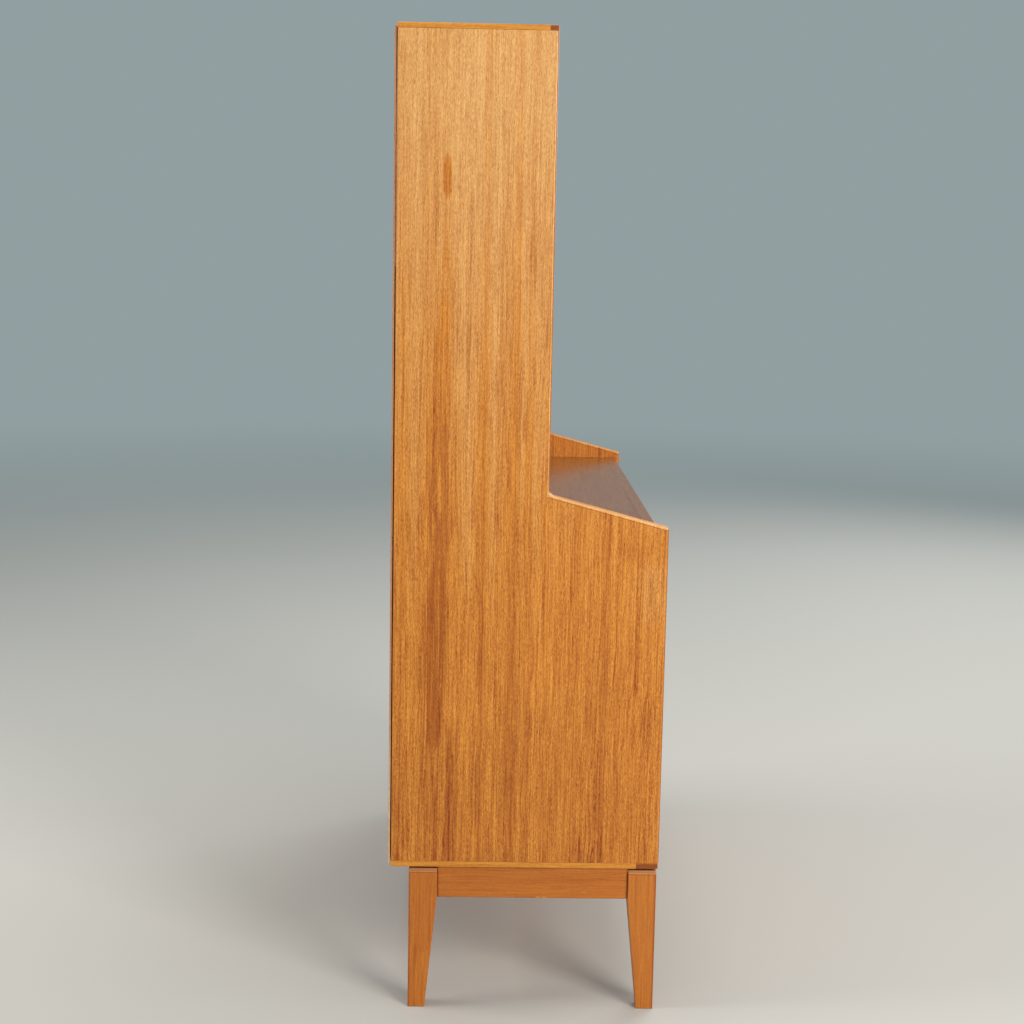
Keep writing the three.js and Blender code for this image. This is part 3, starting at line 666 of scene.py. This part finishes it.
def plies(tree, apart, dark, figure):
    """The middle ply of a thin board is darker at its edges, and the edges are paler lower down."""
    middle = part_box("back_board_upper")[1].y - PLY_THICKNESS / 2
    layer = bump_shape(tree, apart.outputs["Y"], middle, 0.0006, 0.35)
    height = remap(tree, apart.outputs["Z"], 0.36, 0.52, -0.35, 0.15)
    return calc(tree, "ADD", dark, calc(tree, "ADD", layer, height))


def add_box(solid, low, high):
    made = bmesh.ops.create_cube(solid, size=1.0)
    for vertex in made["verts"]:
        for axis in range(3):
            vertex.co[axis] = (low[axis] + high[axis]) / 2 + vertex.co[axis] * (high[axis] - low[axis])


def new_piece(name, solid):
    mesh = bpy.data.meshes.new(name)
    solid.to_mesh(mesh)
    solid.free()
    piece = bpy.data.objects.new(name, mesh)
    bpy.context.scene.collection.objects.link(piece)
    return piece


def add_nails(name, places, y):
    """Small domed nail heads in one piece, at places (x, z) on a face that looks to +Y."""
    solid = bmesh.new()
    angles = [step * math.tau / NAIL_STEPS for step in range(NAIL_STEPS)]
    for x, z in places:
        loops = []
        for rise, reach in NAIL_RINGS:
            radius, height = NAIL_RADIUS * reach, y + NAIL_RADIUS * rise * 0.5
            loops.append([
                solid.verts.new((x + radius * math.cos(angle), height, z + radius * math.sin(angle)))
                for angle in angles
            ])
        solid.faces.new(loops[0])
        for lower, upper in zip(loops, loops[1:]):
            for step in range(NAIL_STEPS):
                after = (step + 1) % NAIL_STEPS
                solid.faces.new((lower[step], upper[step], upper[after], lower[after]))
        solid.faces.new(reversed(loops[-1]))
    bmesh.ops.recalc_face_normals(solid, faces=solid.faces)
    for face in solid.faces:
        face.smooth = True
    piece = new_piece(name, solid)
    piece.data.materials.append(STEEL)
    return piece


def metal(name, base, roughness):
    material = bpy.data.materials.new(name)
    material.use_nodes = True
    tree = material.node_tree
    shader = tree.nodes["Principled BSDF"]
    position = add_node(tree, "ShaderNodeTexCoord").outputs["Object"]
    specks = stretched_noise(tree, position, (900, 900, 900), 3.0, 0.6)
    dull = colour(*(TARNISH * channel for channel in base[:3]))
    tarnish = mix(tree, remap(tree, specks, 0.40, 0.65), base, dull)
    tree.links.new(tarnish, shader.inputs["Base Color"])
    tree.links.new(remap(tree, specks, 0.3, 0.7, roughness, roughness + 0.2), shader.inputs["Roughness"])
    shader.inputs["Metallic"].default_value = 1.0
    return material


STEEL = metal("dull_steel", colour(0.42, 0.40, 0.37), 0.38)


def nail_places(low, high):
    inset = 0.012
    columns = max(2, round((high.x - low.x) / NAIL_PITCH))
    rows = max(2, round((high.z - low.z) / NAIL_PITCH))
    xs = [low.x + inset + (high.x - low.x - 2 * inset) * i / columns for i in range(columns + 1)]
    zs = [low.z + inset + (high.z - low.z - 2 * inset) * i / rows for i in range(rows + 1)]
    return [(x, z) for x in xs for z in zs if x in (xs[0], xs[-1]) or z in (zs[0], zs[-1])]


def add_back():
    edge = wood("ply_edge", PLY_EDGE, "x", 70, features=plies, end_grain=0.1)
    for name, seed in (("back_board_upper", 71), ("back_board_lower", 72)):
        low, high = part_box(name)
        solid = bmesh.new()
        add_box(solid, (low.x, high.y - PLY_THICKNESS, low.z), high)
        piece = soften(new_piece(f"{name}_wood", solid), lambda middle, direction: 0.0003)
        piece.data.materials.append(wood(f"ply_{name}", BACK_PLY, "z", seed))
        add_material(piece, edge, lambda normal, centre: abs(normal.y) < 0.5)
        settle(piece, "cabinet", "back_ply", name)
        nails = add_nails(f"{name}_nails", nail_places(low, high), high.y - 0.0001)
        settle(nails, "cabinet", "back_ply")
    board("leaf_back_rail", wood("beech_back_rail", BEECH, "x", 74), 0.0006)
    for side, seed in (("left", 75), ("right", 76)):
        board(f"leaf_runner_{side}", wood(f"beech_leaf_runner_{side}", BEECH, "y", seed), 0.0008)


add_back()


# ---- Stand ----
LEG_CHAMFER = 0.0044         # on the face to the cabinet's side, at the leg's top
LEG_LINE = 0.0012            # half width of the dark line under the chamfer
LEG_SHADOW_REACH = 0.0035         # how far the painted shadow of the legs reaches along a rail from them
RAIL_CHIPS = (0.53, 0.56)    # places on the left rail's lower edge, as shares from the back


def leg_features(outer_y):
    """A dark line under the chamfer at a leg's top, and painted shade along its outer corner on the faces
    to the sides.
    """
    def features(tree, apart, dark, figure):
        under_top = calc(tree, "SUBTRACT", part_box("leg_front_left")[1].z, apart.outputs["Z"])
        normal = add_node(tree, "ShaderNodeTexCoord").outputs["Normal"]
        across = add_node(tree, "ShaderNodeSeparateXYZ", {0: normal}).outputs["X"]
        sideways = remap(tree, calc(tree, "ABSOLUTE", across), 0.45, 0.60)
        line = bump_shape(tree, under_top, LEG_CHAMFER + LEG_LINE, LEG_LINE, 0.8)
        # Painted shade along the leg's outer corner, on its faces to the sides.
        corner = bump_shape(tree, apart.outputs["Y"], outer_y, 0.0036, 1.3)
        return calc(tree, "MULTIPLY_ADD", calc(tree, "ADD", line, corner), sideways, dark)
    return features


def rail_features(axis, low, high, chips=()):
    """A rail has painted shadow beside the legs, is darker along its lower edge, and may have pale chips.
    """
    start, end = getattr(low, axis), getattr(high, axis)
    middle, half = (start + end) / 2, (end - start) / 2

    def features(tree, apart, dark, figure):
        along = apart.outputs[axis.upper()]
        off_middle = calc(tree, "ABSOLUTE", calc(tree, "SUBTRACT", along, middle))
        # Painted shadow of the legs on the rail's ends.
        leg_shadow = remap(tree, off_middle, half - LEG_SHADOW_REACH, half - 0.0008, 0.0, 0.55)
        edge = bump_shape(tree, apart.outputs["Z"], low.z, 0.0025, 0.6)
        dark = calc(tree, "ADD", dark, calc(tree, "ADD", leg_shadow, edge))
        for share in chips:
            chip = bump_shape(tree, along, end - share * (end - start), 0.0040, -4.0)
            near_edge = remap(tree, apart.outputs["Z"], low.z + 0.0018, low.z + 0.0030, 1.0, 0.0)
            dark = calc(tree, "MULTIPLY_ADD", chip, near_edge, dark)
        return dark
    return features


def add_stand():
    # The chamfers at the legs' tops face up and are painted paler as painted light.
    worn = wood("teak_painted_lit_chamfer", LIT_CHAMFER_TEAK, "y", 80)
    for index, name in enumerate(("front_left", "front_right", "back_right", "back_left")):
        low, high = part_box(f"leg_{name}")
        outer_y, tone = (low.y, 0.0) if name.startswith("front") else (high.y, 0.12)
        features = leg_features(outer_y)
        material = wood(f"teak_leg_{name}", SOLID_TEAK, "z", 81 + index, tone, features)
        leg = board(f"leg_{name}", material, 0.0010)
        add_material(leg, worn, lambda normal, centre: normal.z > 0.4 and abs(normal.x) > 0.4)
    for index, name in enumerate(("left", "right", "front", "back")):
        axis = "y" if name in ("left", "right") else "x"
        low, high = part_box(f"stand_rail_{name}")
        features = rail_features(axis, low, high, RAIL_CHIPS if name == "left" else ())
        material = wood(f"teak_rail_{name}", SOLID_TEAK, axis, 91 + index, features=features)
        board(f"stand_rail_{name}", material, 0.0012)


add_stand()


# ---- Floor and light ----
STUDIO = colour(0.46, 0.56, 0.58)
STUDIO_STRENGTH = 0.62
FLOOR_FADE = (2.0, 9.0)      # the floor fades into the background between these distances


def add_floor():
    """A pale floor that fades into the studio's background far from the object."""
    bpy.ops.mesh.primitive_circle_add(vertices=96, radius=40, fill_type="NGON", location=(0, 0, -0.0002))
    floor = bpy.context.object
    floor.name = "floor"
    material = bpy.data.materials.new("pale_floor")
    material.use_nodes = True
    tree = material.node_tree
    shader = tree.nodes["Principled BSDF"]
    shader.inputs["Base Color"].default_value = colour(0.47, 0.455, 0.43)
    shader.inputs["Roughness"].default_value = 0.7
    glow = add_node(tree, "ShaderNodeEmission", {"Color": STUDIO, "Strength": STUDIO_STRENGTH})
    position = add_node(tree, "ShaderNodeTexCoord").outputs["Object"]
    away = add_node(tree, "ShaderNodeVectorMath", {0: position}, operation="LENGTH").outputs["Value"]
    fade = remap(tree, away, *FLOOR_FADE)
    blend = add_node(tree, "ShaderNodeMixShader", {0: fade, 1: shader.outputs[0], 2: glow.outputs[0]})
    tree.links.new(blend.outputs[0], tree.nodes["Material Output"].inputs["Surface"])
    floor.data.materials.append(material)


def add_area_light(name, place, target, size, power, tint=(1, 1, 1)):
    data = bpy.data.lights.new(name, "AREA")
    data.shape = "RECTANGLE"
    data.size, data.size_y = size
    data.energy = power
    data.color = tint
    light = bpy.data.objects.new(name, data)
    light.location = place
    light.rotation_mode = "QUATERNION"
    light.rotation_quaternion = (Vector(target) - Vector(place)).to_track_quat("-Z", "Y")
    bpy.context.scene.collection.objects.link(light)


def add_light():
    world = bpy.data.worlds.new("studio")
    world.use_nodes = True
    background = world.node_tree.nodes["Background"]
    background.inputs["Color"].default_value = STUDIO
    background.inputs["Strength"].default_value = STUDIO_STRENGTH
    bpy.context.scene.world = world
    add_area_light("key", (-3.5, -2.4, 2.2), (0, 0, 0.95), (1.6, 1.6), 150, (1.0, 0.95, 0.88))
    add_area_light("fill", (3.6, -2.6, 2.8), (0, 0, 0.8), (3.2, 3.2), 100, (1.0, 0.97, 0.93))
    add_area_light("overhead", (-0.3, -0.2, 3.8), (0, 0, 0), (2.2, 2.2), 60, (1.0, 0.97, 0.93))
    add_area_light("rear", (-0.4, 3.8, 2.8), (0, 0, 0.8), (2.0, 2.0), 110, (1.0, 0.97, 0.93))


add_floor()
add_light()
bpy.context.scene.view_settings.view_transform = "Standard"
